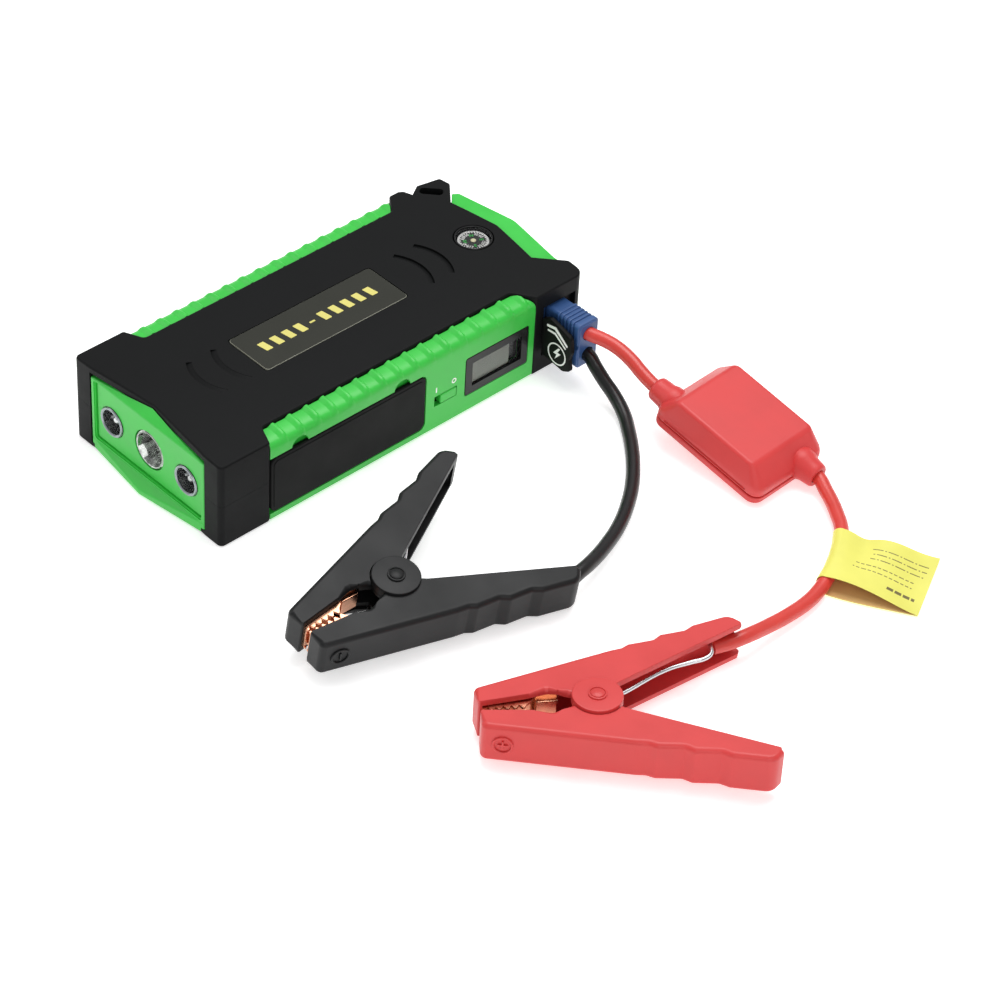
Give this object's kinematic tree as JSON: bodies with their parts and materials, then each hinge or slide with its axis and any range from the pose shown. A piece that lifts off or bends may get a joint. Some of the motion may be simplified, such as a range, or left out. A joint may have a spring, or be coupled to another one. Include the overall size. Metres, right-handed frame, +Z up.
{
  "type": "car jump starter pack",
  "caption": "Rugged battery pack with lamps, compass, ports and display, joined by a pull-out plug and leads to a pair of sprung clamps.",
  "frame": {"origin": "centre of the pack's flat underside, on the surface it rests on", "axes": "+X out of the side with the ports, display and jump socket; +Y along the pack from the lamp end to the compass end; +Z up"},
  "size_m": [0.3033, 0.222, 0.0385],
  "materials": {
    "shell_black": "matt rubberised, moulded",
    "panel_green": "satin moulded",
    "rubber_black": "matt",
    "label_print": "printed and coated",
    "reflector_chrome": "vacuum metallised",
    "clear_plastic": "polished",
    "circuit_board": "solder mask",
    "cell_pouch": "satin foil",
    "display_grey": "segment display behind glass",
    "bezel_black": "smooth moulded",
    "steel": "plated",
    "plug_blue": "satin moulded",
    "contact_brass": "turned",
    "lead_red": "soft vinyl sleeve",
    "lead_black": "soft vinyl sleeve",
    "grip_red": "satin moulded",
    "grip_black": "satin moulded",
    "jaw_copper": "copper plated, stamped",
    "tag_yellow": "printed film"
  },
  "bodies": {
    "pack": {"top_shell": "shell_black", "bottom_shell": "shell_black", "left_side_panel": "panel_green", "right_side_panel": "panel_green", "tail_panel": "panel_green", "lamp_panel": "panel_green", "main_reflector": "reflector_chrome", "left_reflector": "reflector_chrome", "right_reflector": "reflector_chrome", "main_lens": "clear_plastic", "left_lens": "clear_plastic", "right_lens": "clear_plastic", "lamp_board": "circuit_board", "compass_cup": "bezel_black", "compass_lens": "clear_plastic", "label_plate": "label_print", "battery_cell_1": "cell_pouch", "battery_cell_2": "cell_pouch", "battery_cell_3": "cell_pouch", "control_board": "circuit_board", "usb_socket_1": "steel", "usb_socket_2": "steel", "dc_output_socket": "bezel_black", "dc_input_socket": "bezel_black", "switch_body": "bezel_black", "display_frame": "bezel_black", "display_window": "clear_plastic", "display_module": "display_grey", "jump_socket": "plug_blue", "case_screw_1": "steel", "case_screw_2": "steel", "case_screw_3": "steel", "case_screw_4": "steel"},
    "lead_set": {"plug_body": "plug_blue", "plug_contact_red": "contact_brass", "plug_contact_black": "contact_brass", "red_lead_upper": "lead_red", "red_lead_lower": "lead_red", "black_lead": "lead_black", "box_cover": "grip_red", "box_base": "grip_red", "box_relief_in": "grip_red", "box_relief_out": "grip_red", "lead_tag": "tag_yellow", "black_fixed_handle": "grip_black", "black_fixed_jaw": "jaw_copper", "black_rivet": "grip_black", "black_spring": "steel", "red_fixed_handle": "grip_red", "red_fixed_jaw": "jaw_copper", "red_rivet": "grip_red", "red_spring": "steel"},
    "black_clamp_arm": {"black_moving_handle": "grip_black", "black_moving_jaw": "jaw_copper"},
    "red_clamp_arm": {"red_moving_handle": "grip_red", "red_moving_jaw": "jaw_copper"},
    "switch": {"switch_knob": "panel_green"},
    "port_cover_body": {"port_cover": "rubber_black"},
    "jump_cover_body": {"jump_cover": "rubber_black"},
    "compass": {"compass_card": "bezel_black"}
  },
  "joints": [
    {"name": "switch_slide", "type": "slide", "parent": "pack", "child": "switch", "axis": [0, -1, 0], "range_m": [0, 0.0026]},
    {"name": "port_cover_hinge", "type": "hinge", "parent": "pack", "child": "port_cover_body", "pos_m": [0.0422, 0, 0.0036], "axis": [0, 1, 0], "range_deg": [0, 90]},
    {"name": "jump_cover_hinge", "type": "hinge", "parent": "pack", "child": "jump_cover_body", "pos_m": [0.0438, 0.0695, 0.018], "axis": [0, 0, -1], "range_deg": [0, 80]},
    {"name": "compass_spin", "type": "hinge", "parent": "pack", "child": "compass", "pos_m": [0, 0.0712, 0.0364], "axis": [0, 0, 1], "continuous": true},
    {"name": "lead_set_slide", "type": "slide", "parent": "pack", "child": "lead_set", "axis": [1, 0, 0], "range_m": [0, 0.022]},
    {"name": "black_clamp_hinge", "type": "hinge", "parent": "lead_set", "child": "black_clamp_arm", "pos_m": [0.1103, -0.0678, 0.0136], "axis": [-0.1474, 0.0053, -0.9891], "range_deg": [0, 30], "stiffness_Nm_per_rad": 1.2, "springref_deg": -34.38, "deforming": ["black_spring"]},
    {"name": "red_clamp_hinge", "type": "hinge", "parent": "lead_set", "child": "red_clamp_arm", "pos_m": [0.199, -0.0537, 0.0105], "axis": [-0.037, 0.0321, 0.9988], "range_deg": [0, 30], "stiffness_Nm_per_rad": 1.2, "springref_deg": -34.38, "deforming": ["red_spring"]}
  ]
}
